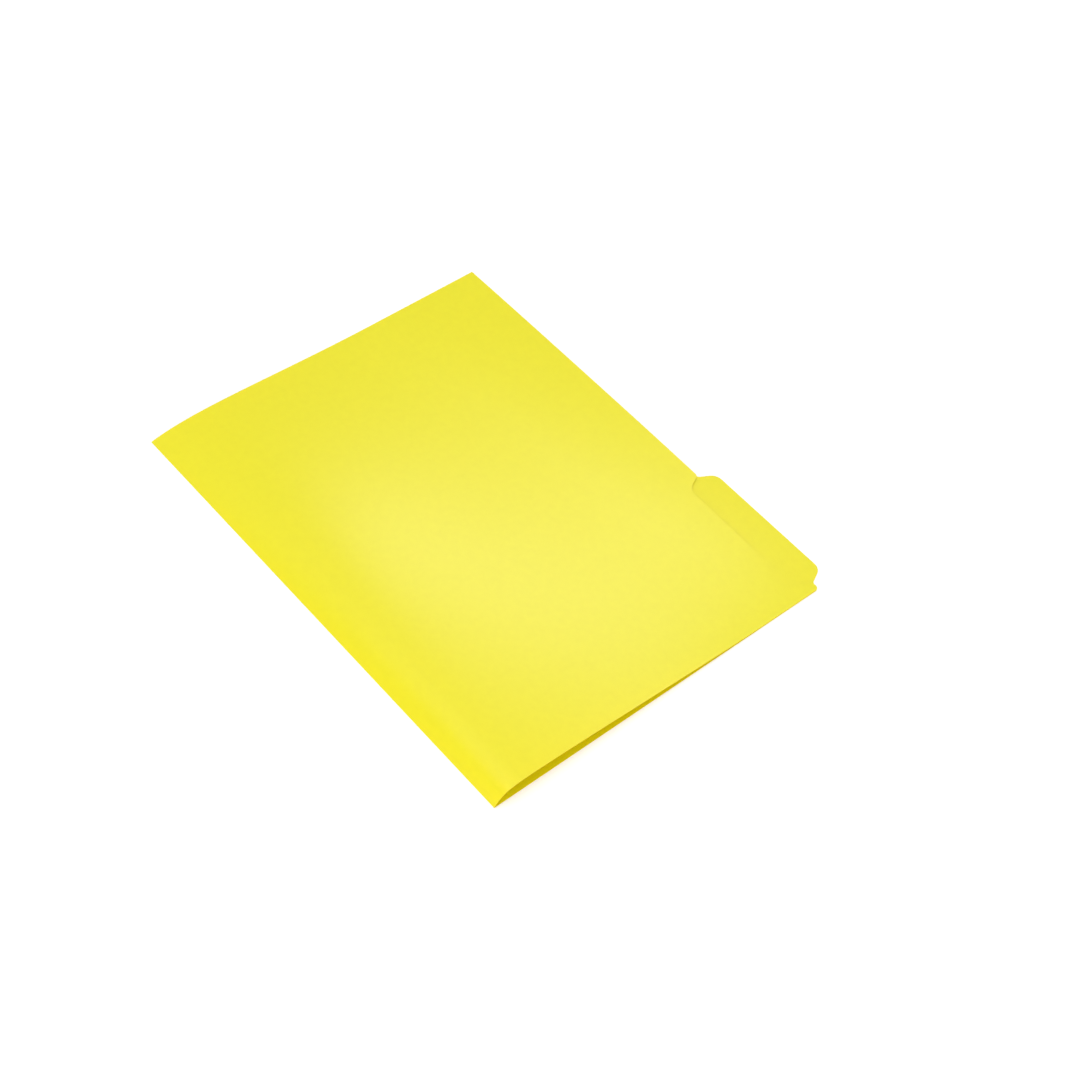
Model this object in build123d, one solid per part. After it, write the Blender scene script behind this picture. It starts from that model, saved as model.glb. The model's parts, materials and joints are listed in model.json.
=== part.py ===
from build123d import *
import math
import os

# A letter-size file folder: one die-cut card sheet, scored and folded once.
# The folder lies closed on its back leaf. +X runs along the fold towards the
# index tab, +Y from the fold to the tab, and +Z up through the cover.
# The origin is the centre of the closed folder's outline, on its underside.

# Driving dimensions, in millimetres and degrees
FOLDER_WIDTH = 298.45      # along the fold, 11-3/4 in
FOLDER_HEIGHT = 241.3      # from the fold to the top of the tab, 9-1/2 in
CARD_THICKNESS = 0.28      # 11 point card
TAB_HEIGHT = 10.5          # tab above the main edge, and undercut below it
TAB_FOOT_LENGTH = 93.4     # along the main edge, from one foot of the tab to the other
TAB_SHOULDER = 4.75        # main edge left between the tab and the right-hand side
TAB_SIDE_ANGLE = 64.0      # slope of the tab's two ends
TAB_CROWN_RADIUS = 6.5     # round corners at the top of the tab
TAB_FOOT_RADIUS = 3.0      # hollow corners where the tab leaves the main edge
CORNER_RADIUS = 2.5        # rounded outer corner beside the tab
STRIP_WIDTH = 6.35         # from one score line to the next, 1/4 in
STRIP_COUNT = 3            # strips that square the spine to 3/4 in
SPRING_ANGLE = 29.0        # first strip above the back leaf, in the closed folder
REST_CLEARANCE = 0.1       # between the front leaf's main edge and the back leaf
CREASE_CLEARANCE = 0.04    # between a crease's bead and the card that turns about it

# Places and limits that follow from them
BEAD_RADIUS = CARD_THICKNESS
CARD_START = BEAD_RADIUS + CREASE_CLEARANCE
SIDE_X = FOLDER_WIDTH / 2
FOLD_Y = BEAD_RADIUS - FOLDER_HEIGHT / 2
MAIN_EDGE_Y = FOLDER_HEIGHT / 2 - TAB_HEIGHT
TAB_RIGHT_X = SIDE_X - TAB_SHOULDER
TAB_LEFT_X = TAB_RIGHT_X - TAB_FOOT_LENGTH
TAB_END_RUN = TAB_HEIGHT / math.tan(math.radians(TAB_SIDE_ANGLE))
TAB_FOOT_TANGENT = TAB_FOOT_RADIUS * math.tan(math.radians(TAB_SIDE_ANGLE / 2))
SHOULDER_CORNER = min(CORNER_RADIUS, 0.95 * (TAB_SHOULDER - TAB_FOOT_TANGENT))


def step_up(angle, length):
    """A step across the folder, as depth and height, at an angle above the back leaf."""
    slope = math.radians(angle)
    return Vector(length * math.cos(slope), length * math.sin(slope))


def crease_axes(bend):
    """Axes of the main fold and the scores, as depth and height, on the card's inner face."""
    axes = [Vector(FOLD_Y, CARD_THICKNESS)]
    for index in range(STRIP_COUNT):
        axes.append(axes[-1] + step_up(SPRING_ANGLE - index * bend, STRIP_WIDTH))
    return axes


def front_reach(bend):
    """Step from the last score to the front leaf's main edge, level with the back leaf's."""
    rest_edge = Vector(MAIN_EDGE_Y, CARD_THICKNESS + REST_CLEARANCE)
    return rest_edge - crease_axes(bend)[-1]


def front_slope(bend):
    """Angle of the front leaf when its main edge rests on the back leaf."""
    reach = front_reach(bend)
    return math.degrees(math.atan2(reach.Y, reach.X))


def resting_bend():
    """The bend, the same at every score, that lays the front leaf down at its resting angle."""
    low, high = 0.0, SPRING_ANGLE
    while high - low > 1e-9:
        bend = (low + high) / 2
        if SPRING_ANGLE - STRIP_COUNT * bend > front_slope(bend):
            low = bend
        else:
            high = bend
    return (low + high) / 2


def leaf_outline(card_start, main_edge, tab_direction):
    """A leaf laid flat from its crease, with the tab standing out (+1) or cut in (-1)."""
    tab_edge = main_edge + tab_direction * TAB_HEIGHT
    corners = [
        ((-SIDE_X, card_start), 0),
        ((SIDE_X, card_start), 0),
        ((SIDE_X, main_edge), SHOULDER_CORNER),
        ((TAB_RIGHT_X, main_edge), TAB_FOOT_RADIUS),
        ((TAB_RIGHT_X - TAB_END_RUN, tab_edge), TAB_CROWN_RADIUS),
        ((TAB_LEFT_X + TAB_END_RUN, tab_edge), TAB_CROWN_RADIUS),
        ((TAB_LEFT_X, main_edge), TAB_FOOT_RADIUS),
        ((-SIDE_X, main_edge), 0),
    ]
    points = [point for point, radius in corners]
    radii = [radius for point, radius in corners]
    return make_face(FilletPolyline(*points, radius=radii, close=True))


def crease_bead(depth):
    """The round bead that a crease raises on the inner face, along the whole folder."""
    section = Plane(origin=(-SIDE_X, depth, 0), x_dir=(0, 1, 0), z_dir=(1, 0, 0))
    return extrude(section * Circle(BEAD_RADIUS), FOLDER_WIDTH)


def back_leaf():
    """Rear leaf with the index tab, and the bead of the main fold along its edge."""
    outline = leaf_outline(0, MAIN_EDGE_Y - FOLD_Y, 1)
    card = extrude(outline, -CARD_THICKNESS) + crease_bead(0)
    return Pos(0, FOLD_Y, CARD_THICKNESS) * card


def spine_strip():
    """One strip of the scored spine, with the bead of the next score along its far edge."""
    middle = (CARD_START + STRIP_WIDTH) / 2
    outline = Pos(0, middle) * Rectangle(FOLDER_WIDTH, STRIP_WIDTH - CARD_START)
    return extrude(outline, CARD_THICKNESS) + crease_bead(STRIP_WIDTH)


def front_leaf(depth):
    """Cover from the last score to its main edge, with the undercut that shows the tab."""
    return extrude(leaf_outline(CARD_START, depth, -1), CARD_THICKNESS)


def raised(flat_card, axis, angle):
    """Swing a flat piece of the cover up about its crease, inner face to the back leaf."""
    return Pos(0, axis.X, axis.Y) * Rot(angle, 0, 0) * flat_card


bend = resting_bend()
axes = crease_axes(bend)
pieces = {"back_leaf": back_leaf()}
for index in range(STRIP_COUNT):
    strip_angle = SPRING_ANGLE - index * bend
    pieces[f"spine_strip_{index + 1}"] = raised(spine_strip(), axes[index], strip_angle)
pieces["front_leaf"] = raised(front_leaf(front_reach(bend).length), axes[-1], front_slope(bend))

os.makedirs("parts", exist_ok=True)
for name, piece in pieces.items():
    export_step(piece, f"parts/{name}.step")

print(f"bend at each score {bend:.4f}, slope of the front leaf {front_slope(bend):.4f} degrees")
for index, axis in enumerate(axes):
    print(f"axis of crease {index}: y {axis.X:.4f}, z {axis.Y:.4f} mm")
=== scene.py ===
import json
import math

import bmesh
import bpy
from mathutils import Matrix, Vector


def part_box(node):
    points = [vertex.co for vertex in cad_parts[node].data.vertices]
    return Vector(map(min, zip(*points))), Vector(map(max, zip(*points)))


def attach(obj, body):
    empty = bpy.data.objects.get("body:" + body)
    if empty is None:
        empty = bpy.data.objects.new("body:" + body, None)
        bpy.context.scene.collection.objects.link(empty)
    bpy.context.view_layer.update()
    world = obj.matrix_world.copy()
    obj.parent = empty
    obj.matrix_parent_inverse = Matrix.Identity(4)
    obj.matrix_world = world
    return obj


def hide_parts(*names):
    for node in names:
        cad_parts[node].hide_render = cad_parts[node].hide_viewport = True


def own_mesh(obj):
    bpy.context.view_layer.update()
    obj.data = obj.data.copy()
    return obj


# A letter-size card folder that lies closed on a white floor, in the frame of its CAD pieces
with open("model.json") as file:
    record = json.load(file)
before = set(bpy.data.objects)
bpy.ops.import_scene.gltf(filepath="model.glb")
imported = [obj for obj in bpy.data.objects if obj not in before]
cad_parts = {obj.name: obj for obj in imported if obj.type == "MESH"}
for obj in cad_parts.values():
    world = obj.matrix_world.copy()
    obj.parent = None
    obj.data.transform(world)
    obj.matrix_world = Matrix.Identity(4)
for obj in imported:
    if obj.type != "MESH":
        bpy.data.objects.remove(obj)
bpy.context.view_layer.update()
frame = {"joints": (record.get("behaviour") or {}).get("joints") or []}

# Places read from the frame, in metres
joints = {joint["name"]: joint for joint in frame["joints"]}
CREASES = [Vector(joints[name]["pos_m"]) for name in ("main_fold", "score_1", "score_2", "score_3")]
FOLD_Y = CREASES[0].y
CARD_THICKNESS = CREASES[0].z
SIDE_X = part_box("back_leaf")[1].x
TAB_TOP_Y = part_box("back_leaf")[1].y
MAIN_EDGE_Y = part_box("front_leaf")[1].y
TAB_HEIGHT = TAB_TOP_Y - MAIN_EDGE_Y

# Die-cut contour of the tab and the undercut, in metres and degrees
TAB_FOOT_LENGTH = 0.0934
TAB_SHOULDER = 0.00475
TAB_SIDE_ANGLE = 64.0
TAB_CROWN_RADIUS = 0.0065
TAB_FOOT_RADIUS = 0.003
CORNER_RADIUS = 0.0025

# Ridge that a score raises, in metres
BEAD_REACH = 0.0006    # from its middle to its rim
BEAD_HEIGHT = 0.00025  # above and below the card's inner face
BEAD_RIM = 0.05        # share of that height left at its rim

# Spring of the closed cover, far side and near side, in metres
FAR_HEIGHT, NEAR_HEIGHT = 0.0050, 0.0092  # how high it stands
FAR_RISE, NEAR_RISE = 0.020, 0.005        # how soon it rises from the fold
FAR_REACH, NEAR_REACH = 0.150, 0.205      # how far from the fold it comes down on the back leaf
REST_CLEARANCE = 0.0001                   # between the resting cover and the back leaf
MIDDLE_LIFT = 0.0016                      # of the cover midway between its sides
WAVE_HEIGHT, WAVE_LENGTH = 0.0001, 0.13   # faint wave of the card
WAVE_SLANT = 0.4                          # how much the wave runs across the folder

# Arch of the back leaf, which the undercut rests on, in metres
TAB_ARCH = 0.0013
ARCH_REACH = 0.06
ARCH_ROUND = 0.006
ARCH_CREST_Y = MAIN_EDGE_Y - TAB_HEIGHT - ARCH_ROUND
ARCH_FALL = 2 * TAB_HEIGHT + ARCH_ROUND / 2

# Mesh steps
COLUMN_STEP = 0.004
ROW_STEP = 0.004
ARC_STEPS = 8
STRIP_ROWS = 12
BEAD_ROWS = 6
BEAD_SIDES = 12

# Colours of the card's pale and deep fibres, and its roughness
FACE_PALE, FACE_DEEP = (0.962, 0.958, 0.007), (0.932, 0.923, 0.005)
FACE_ROUGHNESS = 0.36
EDGE_PALE, EDGE_DEEP = (0.86, 0.74, 0.02), (0.80, 0.67, 0.015)
EDGE_ROUGHNESS = 0.7

# Cloudy mottle of the card, per metre
CLOUD_SCALE = 240.0
CLOUD_DETAIL, CLOUD_BREAKUP = 5.0, 0.6
CLOUD_DEEP_LEVEL, CLOUD_PALE_LEVEL = 0.3, 0.7

# Fibre grain of the card, longest along the fold, per metre
FIBRE_SCALE = (700.0, 2600.0, 2600.0)
FIBRE_DETAIL, FIBRE_BREAKUP, FIBRE_TWIST = 4.0, 0.65, 0.6
GRAIN_STRENGTH, GRAIN_DEPTH = 0.25, 0.00003
SATIN_SPREAD = 0.05
CARD_SPECULAR = 0.5

# Light that the thin card lets through, and its share
CARD_GLOW = (1.0, 0.5, 0.01)
CARD_GLOW_SHARE = 0.2

# Camera of the photograph, in degrees, metres and millimetres of lens
CAMERA_AZIMUTH = 43.29
CAMERA_ELEVATION = 50.86
CAMERA_ROLL = 8.08
CAMERA_DISTANCE = 1.2423
CAMERA_AIM = Vector((0.0298, 0.0093, 0.0))
CAMERA_LENS = 76.05

# Studio light, in metres and watts
KEY_PLACE = Vector((-0.124, 0.190, 0.300))
KEY_WIDTH, KEY_DEPTH = 0.30, 0.02
KEY_POWER = 0.54
FILL_PLACE = Vector((1.25, -1.2, 0.80))
FILL_WIDTH, FILL_DEPTH = 1.6, 0.9
FILL_POWER = 12.0
FILL_COLOUR = (1.0, 0.80, 0.55)
TOP_PLACE = Vector((-0.4, -0.1, 2.2))
TOP_WIDTH, TOP_DEPTH = 1.4, 1.4
TOP_POWER = 10.0
WHITE = (1, 1, 1)
WORLD_LIGHT = 0.75
WORLD_SEEN = 1.0

# White floor, and how much it is lifted to white near the folder and away from it
FLOOR_DROP = 0.0001
FLOOR_SIZE = 8.0
FLOOR_COLOUR = (0.9, 0.9, 0.9)
FLOOR_LIFT, FLOOR_LIFT_AWAY = 0.26, 1.0
LIFT_START, LIFT_STOP = 0.35, 1.0


def arc(centre_x, centre_rise, radius, start, stop):
    """Points of a round corner in the die-cut contour, from one angle to another."""
    points = []
    for step in range(ARC_STEPS + 1):
        angle = math.radians(start + (stop - start) * step / ARC_STEPS)
        points.append((centre_x + radius * math.cos(angle), centre_rise + radius * math.sin(angle)))
    return points


def tab_contour():
    """The die-cut line from the far side to the near side: places along X and rise of the tab."""
    half_turn = math.tan(math.radians(TAB_SIDE_ANGLE / 2))
    right_foot = SIDE_X - TAB_SHOULDER
    left_foot = right_foot - TAB_FOOT_LENGTH
    middle = (left_foot + right_foot) / 2
    left_crown = left_foot + TAB_HEIGHT / math.tan(math.radians(TAB_SIDE_ANGLE))
    foot = arc(left_foot - TAB_FOOT_RADIUS * half_turn, TAB_FOOT_RADIUS, TAB_FOOT_RADIUS,
               -90, TAB_SIDE_ANGLE - 90)
    crown = arc(left_crown + TAB_CROWN_RADIUS * half_turn, TAB_HEIGHT - TAB_CROWN_RADIUS, TAB_CROWN_RADIUS,
                90 + TAB_SIDE_ANGLE, 90)
    left_end = foot + crown
    right_end = [(2 * middle - x, rise) for x, rise in reversed(left_end)]
    corner = arc(SIDE_X - CORNER_RADIUS, -CORNER_RADIUS, CORNER_RADIUS, 90, 0)
    return [(-SIDE_X, 0.0)] + left_end + right_end + corner


def with_even_steps(points):
    """The contour with extra points on its long straight stretches."""
    stepped = [points[0]]
    for (x0, rise0), (x1, rise1) in zip(points, points[1:]):
        count = max(1, math.ceil((x1 - x0) / COLUMN_STEP))
        for step in range(1, count + 1):
            share = step / count
            stepped.append((x0 + (x1 - x0) * share, rise0 + (rise1 - rise0) * share))
    return stepped


CONTOUR = with_even_steps(tab_contour())


def edge_y(rise, tab_direction):
    """Where the die-cut edge lies: the tab stands out (+1) or is cut in (-1), a corner is cut off."""
    return MAIN_EDGE_Y + (tab_direction * rise if rise > 0 else rise)


def mix(low, high, share):
    """The value at a share of the way from low to high."""
    return low + (high - low) * share


def eased(share):
    """A share that starts and stops gently."""
    return share * share * (3 - 2 * share)


def along_fold(x):
    """Share of the way from the far side to the near side."""
    return (x + SIDE_X) / (2 * SIDE_X)


def cover_height(x, y):
    """Height of the closed cover's inner face: it springs from the fold and comes to rest."""
    share = along_fold(x)
    depth = max(0.0, y - FOLD_Y)
    lifted = 1 - math.exp(-depth / mix(FAR_RISE, NEAR_RISE, share))
    down = min(1.0, depth / mix(FAR_REACH, NEAR_REACH, share))
    spring = mix(FAR_HEIGHT, NEAR_HEIGHT, share) * (1 - eased(down))
    lift = MIDDLE_LIFT * math.sin(math.pi * share)
    wave = WAVE_HEIGHT * math.sin(math.pi * (x + WAVE_SLANT * y) / WAVE_LENGTH) ** 2
    return CARD_THICKNESS + lifted * (spring + lift + REST_CLEARANCE + wave)


def cover_point(x, y):
    """A point on the closed cover's inner face."""
    return Vector((x, y, cover_height(x, y)))


def back_point(x, y):
    """A point on the back leaf's inner face: the leaf arches a little, and falls away to the tab."""
    past = y - ARCH_CREST_Y
    if past < 0:
        arch = eased(max(0.0, 1 + past / ARCH_REACH))
    else:
        fall = past * past / (2 * ARCH_ROUND) if past < ARCH_ROUND else past - ARCH_ROUND / 2
        arch = max(0.0, 1 - fall / ARCH_FALL)
    return Vector((x, y, CARD_THICKNESS + TAB_ARCH * math.sin(math.pi * along_fold(x)) * arch))


def card_face(name, rows, point):
    """One face of a card piece from rows of places, smooth but for its cut edges."""
    mesh = bmesh.new()
    grid = [[mesh.verts.new(point(x, y)) for x, y in row] for row in rows]
    for low, high in zip(grid, grid[1:]):
        for column in range(len(low) - 1):
            mesh.faces.new((low[column], low[column + 1], high[column + 1], high[column]))
    for edge in mesh.edges:
        edge.smooth = not edge.is_boundary
    return finished(name, mesh)


def finished(name, mesh):
    """Turn a bmesh into a smooth object of the card's two materials."""
    for face in mesh.faces:
        face.smooth = True
    data = bpy.data.meshes.new(name)
    mesh.to_mesh(data)
    mesh.free()
    piece = bpy.data.objects.new(name, data)
    bpy.context.scene.collection.objects.link(piece)
    piece.data.materials.append(CARD_FACE)
    piece.data.materials.append(CARD_EDGE)
    return piece


def thicken(piece, thickness, side):
    """Give a face its thickness below (-1), about (0) or above (1) it, and cut edges round it."""
    solid = piece.modifiers.new("thickness", "SOLIDIFY")
    solid.thickness = thickness
    solid.offset = side
    solid.use_even_offset = True
    solid.material_offset_rim = 1
    return solid


def leaf_rows(start, tab_direction):
    """Rows of places from a crease to the die-cut edge of a leaf."""
    count = math.ceil((MAIN_EDGE_Y - start) / ROW_STEP)
    rows = []
    for step in range(count + 1):
        share = step / count
        rows.append([(x, mix(start, edge_y(rise, tab_direction), share)) for x, rise in CONTOUR])
    return rows


def strip_rows(start, stop, count):
    """Rows of places across a strip along the fold."""
    rows = []
    for step in range(count + 1):
        y = mix(start, stop, step / count)
        rows.append([(x, y) for x, rise in CONTOUR])
    return rows


def fold_bead():
    """The round bead of the main fold, from side to side."""
    mesh = bmesh.new()
    rings = []
    for x, rise in CONTOUR:
        ring = []
        for side in range(BEAD_SIDES):
            angle = 2 * math.pi * side / BEAD_SIDES
            offset = Vector((0, math.cos(angle), math.sin(angle))) * CARD_THICKNESS
            ring.append(mesh.verts.new(back_point(x, FOLD_Y) + offset))
        rings.append(ring)
    for low, high in zip(rings, rings[1:]):
        for side in range(BEAD_SIDES):
            after = (side + 1) % BEAD_SIDES
            mesh.faces.new((low[side], low[after], high[after], high[side]))
    mesh.faces.new(rings[0])
    mesh.faces.new(rings[-1])
    bmesh.ops.recalc_face_normals(mesh, faces=mesh.faces)
    return finished("fold_bead", mesh)


def score_bead(name, y):
    """The low ridge that a score raises on the inner face, thick in its middle and thin at its rims."""
    rows = strip_rows(y - BEAD_REACH, y + BEAD_REACH, BEAD_ROWS)
    ridge = card_face(name, rows, cover_point)
    shape = ridge.vertex_groups.new(name="ridge")
    for vertex in ridge.data.vertices:
        across = (vertex.co.y - y) / BEAD_REACH
        shape.add([vertex.index], 1 - across * across, "REPLACE")
    solid = thicken(ridge, 2 * BEAD_HEIGHT, 0)
    solid.vertex_group = shape.name
    solid.thickness_vertex_group = BEAD_RIM
    return ridge


def node(tree, kind, **values):
    """A shader node with its unlinked sockets set by name."""
    made = tree.nodes.new(kind)
    for name, value in values.items():
        made.inputs[name.replace("_", " ")].default_value = value
    return made


def add_mottle(tree, shader, place, pale, deep):
    """Colour the card by clouds of pale and deep fibres."""
    cloud = node(tree, "ShaderNodeTexNoise", Scale=CLOUD_SCALE, Detail=CLOUD_DETAIL, Roughness=CLOUD_BREAKUP)
    tree.links.new(place.outputs["Object"], cloud.inputs["Vector"])
    colour = tree.nodes.new("ShaderNodeValToRGB")
    low, high = colour.color_ramp.elements
    low.position = CLOUD_DEEP_LEVEL
    low.color = (*deep, 1)
    high.position = CLOUD_PALE_LEVEL
    high.color = (*pale, 1)
    tree.links.new(cloud.outputs["Fac"], colour.inputs["Fac"])
    tree.links.new(colour.outputs["Color"], shader.inputs["Base Color"])


def add_grain(tree, shader, place, roughness):
    """Give the card its fibre grain: a satin finish that varies with it, and a fine relief."""
    stretch = node(tree, "ShaderNodeMapping", Scale=FIBRE_SCALE)
    tree.links.new(place.outputs["Object"], stretch.inputs["Vector"])
    fibre = node(tree, "ShaderNodeTexNoise", Scale=1.0, Detail=FIBRE_DETAIL, Roughness=FIBRE_BREAKUP,
                 Distortion=FIBRE_TWIST)
    tree.links.new(stretch.outputs["Vector"], fibre.inputs["Vector"])
    satin = node(tree, "ShaderNodeMapRange", To_Min=roughness - SATIN_SPREAD, To_Max=roughness + SATIN_SPREAD)
    tree.links.new(fibre.outputs["Fac"], satin.inputs["Value"])
    tree.links.new(satin.outputs["Result"], shader.inputs["Roughness"])
    grain = node(tree, "ShaderNodeBump", Strength=GRAIN_STRENGTH, Distance=GRAIN_DEPTH)
    tree.links.new(fibre.outputs["Fac"], grain.inputs["Height"])
    tree.links.new(grain.outputs["Normal"], shader.inputs["Normal"])


def add_glow(tree, shader):
    """Let the thin card pass some of the light that falls on its other face."""
    through = node(tree, "ShaderNodeBsdfTranslucent", Color=(*CARD_GLOW, 1))
    both = node(tree, "ShaderNodeMixShader", Fac=CARD_GLOW_SHARE)
    tree.links.new(shader.outputs["BSDF"], both.inputs[1])
    tree.links.new(through.outputs["BSDF"], both.inputs[2])
    tree.links.new(both.outputs["Shader"], tree.nodes["Material Output"].inputs["Surface"])


def card_material(name, pale, deep, roughness):
    """Dyed card: cloudy fibre mottle in its colour, a fine fibre grain, a satin finish and some glow."""
    material = bpy.data.materials.new(name)
    material.use_nodes = True
    tree = material.node_tree
    shader = tree.nodes["Principled BSDF"]
    shader.inputs["Specular IOR Level"].default_value = CARD_SPECULAR
    place = tree.nodes.new("ShaderNodeTexCoord")
    add_mottle(tree, shader, place, pale, deep)
    add_grain(tree, shader, place, roughness)
    add_glow(tree, shader)
    return material


def seen_ray(tree):
    """1 for rays that show the background: from the camera, a gloss or a clear piece."""
    path = tree.nodes.new("ShaderNodeLightPath")
    seen = path.outputs["Is Camera Ray"]
    for kind in ("Is Glossy Ray", "Is Transmission Ray"):
        either = tree.nodes.new("ShaderNodeMath")
        either.operation = "MAXIMUM"
        tree.links.new(seen, either.inputs[0])
        tree.links.new(path.outputs[kind], either.inputs[1])
        seen = either.outputs["Value"]
    return seen


def floor_material():
    """Pale floor that the camera sees as white, with the folder's own soft shadow on it."""
    material = bpy.data.materials.new("floor_white")
    material.use_nodes = True
    tree = material.node_tree
    tree.nodes.clear()
    out = tree.nodes.new("ShaderNodeOutputMaterial")
    diffuse = node(tree, "ShaderNodeBsdfDiffuse", Color=(*FLOOR_COLOUR, 1))
    glow = node(tree, "ShaderNodeEmission", Color=(*WHITE, 1))
    place = tree.nodes.new("ShaderNodeTexCoord")
    distance = tree.nodes.new("ShaderNodeVectorMath")
    distance.operation = "LENGTH"
    tree.links.new(place.outputs["Object"], distance.inputs[0])
    level = node(tree, "ShaderNodeMapRange", From_Min=LIFT_START, From_Max=LIFT_STOP,
                 To_Min=FLOOR_LIFT, To_Max=FLOOR_LIFT_AWAY)
    tree.links.new(distance.outputs["Value"], level.inputs["Value"])
    lift = tree.nodes.new("ShaderNodeMath")
    lift.operation = "MULTIPLY"
    tree.links.new(seen_ray(tree), lift.inputs[0])
    tree.links.new(level.outputs["Result"], lift.inputs[1])
    tree.links.new(lift.outputs["Value"], glow.inputs["Strength"])
    both = tree.nodes.new("ShaderNodeAddShader")
    tree.links.new(diffuse.outputs["BSDF"], both.inputs[0])
    tree.links.new(glow.outputs["Emission"], both.inputs[1])
    tree.links.new(both.outputs["Shader"], out.inputs["Surface"])
    return material


def make_world():
    """White surroundings: full white where they are seen, softer as a light."""
    world = bpy.data.worlds.new("studio")
    bpy.context.scene.world = world
    world.use_nodes = True
    tree = world.node_tree
    background = tree.nodes["Background"]
    background.inputs["Color"].default_value = (*WHITE, 1)
    level = node(tree, "ShaderNodeMapRange", To_Min=WORLD_LIGHT, To_Max=WORLD_SEEN)
    tree.links.new(seen_ray(tree), level.inputs["Value"])
    tree.links.new(level.outputs["Result"], background.inputs["Strength"])


def make_floor():
    """A wide square floor just under the folder."""
    low = Vector((-FLOOR_SIZE / 2, -FLOOR_SIZE / 2, -FLOOR_DROP))
    mesh = bpy.data.meshes.new("floor")
    corners = [low, low + Vector((FLOOR_SIZE, 0, 0)), low + Vector((FLOOR_SIZE, FLOOR_SIZE, 0)),
               low + Vector((0, FLOOR_SIZE, 0))]
    mesh.from_pydata(corners, [], [(0, 1, 2, 3)])
    floor = bpy.data.objects.new("floor", mesh)
    floor.data.materials.append(floor_material())
    bpy.context.scene.collection.objects.link(floor)


def softbox(name, place, width, depth, power, colour=WHITE):
    """A rectangular area lamp that faces the folder, with its width level."""
    lamp = bpy.data.lights.new(name, "AREA")
    lamp.shape = "RECTANGLE"
    lamp.size = width
    lamp.size_y = depth
    lamp.energy = power
    lamp.color = colour
    holder = bpy.data.objects.new(name, lamp)
    holder.location = place
    holder.rotation_euler = place.to_track_quat("Z", "Y").to_euler()
    holder.visible_camera = False
    bpy.context.scene.collection.objects.link(holder)
    return holder


def make_lights():
    """A near strip that gives the card only its sheen, a low warm fill without one, and a wide top light."""
    key = softbox("key", KEY_PLACE, KEY_WIDTH, KEY_DEPTH, KEY_POWER)
    key.visible_diffuse = False
    fill = softbox("fill", FILL_PLACE, FILL_WIDTH, FILL_DEPTH, FILL_POWER, FILL_COLOUR)
    fill.visible_glossy = False
    softbox("top", TOP_PLACE, TOP_WIDTH, TOP_DEPTH, TOP_POWER)


def make_camera():
    """The photograph's camera, aimed at a point on the floor."""
    turn = Matrix.Rotation(math.radians(CAMERA_AZIMUTH), 4, "Z")
    tilt = Matrix.Rotation(math.radians(90 - CAMERA_ELEVATION), 4, "X")
    roll = Matrix.Rotation(math.radians(CAMERA_ROLL), 4, "Z")
    facing = turn @ tilt @ roll
    data = bpy.data.cameras.new("camera")
    data.lens = CAMERA_LENS
    camera = bpy.data.objects.new("camera", data)
    place = CAMERA_AIM + facing.to_3x3() @ Vector((0, 0, CAMERA_DISTANCE))
    camera.matrix_world = Matrix.Translation(place) @ facing
    bpy.context.scene.collection.objects.link(camera)
    bpy.context.scene.camera = camera


def settle(piece, body):
    """Let a piece of the cover ride on its body, with a mesh of its own."""
    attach(piece, body)
    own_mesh(piece)


def make_back():
    """The back leaf with its tab, and the bead of the main fold along its edge."""
    back = card_face("back_sheet", leaf_rows(FOLD_Y, 1), back_point)
    thicken(back, CARD_THICKNESS, -1)
    for piece in (back, fold_bead()):
        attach(piece, "back_leaf")
    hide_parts("back_leaf")


def make_spine():
    """The strips of the scored spine, each with the ridge of the score at its end."""
    for index in range(len(CREASES) - 1):
        body = f"spine_strip_{index + 1}"
        start, stop = CREASES[index].y, CREASES[index + 1].y
        strip = card_face(f"spine_sheet_{index + 1}", strip_rows(start, stop, STRIP_ROWS), cover_point)
        thicken(strip, CARD_THICKNESS, 1)
        settle(strip, body)
        settle(score_bead(f"score_bead_{index + 1}", stop), body)
        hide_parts(body)


def make_front():
    """The cover with its undercut, from the last score to its main edge."""
    front = card_face("front_sheet", leaf_rows(CREASES[-1].y, -1), cover_point)
    thicken(front, CARD_THICKNESS, 1)
    settle(front, "front_leaf")
    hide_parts("front_leaf")


CARD_FACE = card_material("yellow_card", FACE_PALE, FACE_DEEP, FACE_ROUGHNESS)
CARD_EDGE = card_material("yellow_card_edge", EDGE_PALE, EDGE_DEEP, EDGE_ROUGHNESS)

make_back()
make_spine()
make_front()
make_world()
make_floor()
make_lights()
make_camera()
bpy.context.scene.view_settings.view_transform = "Standard"
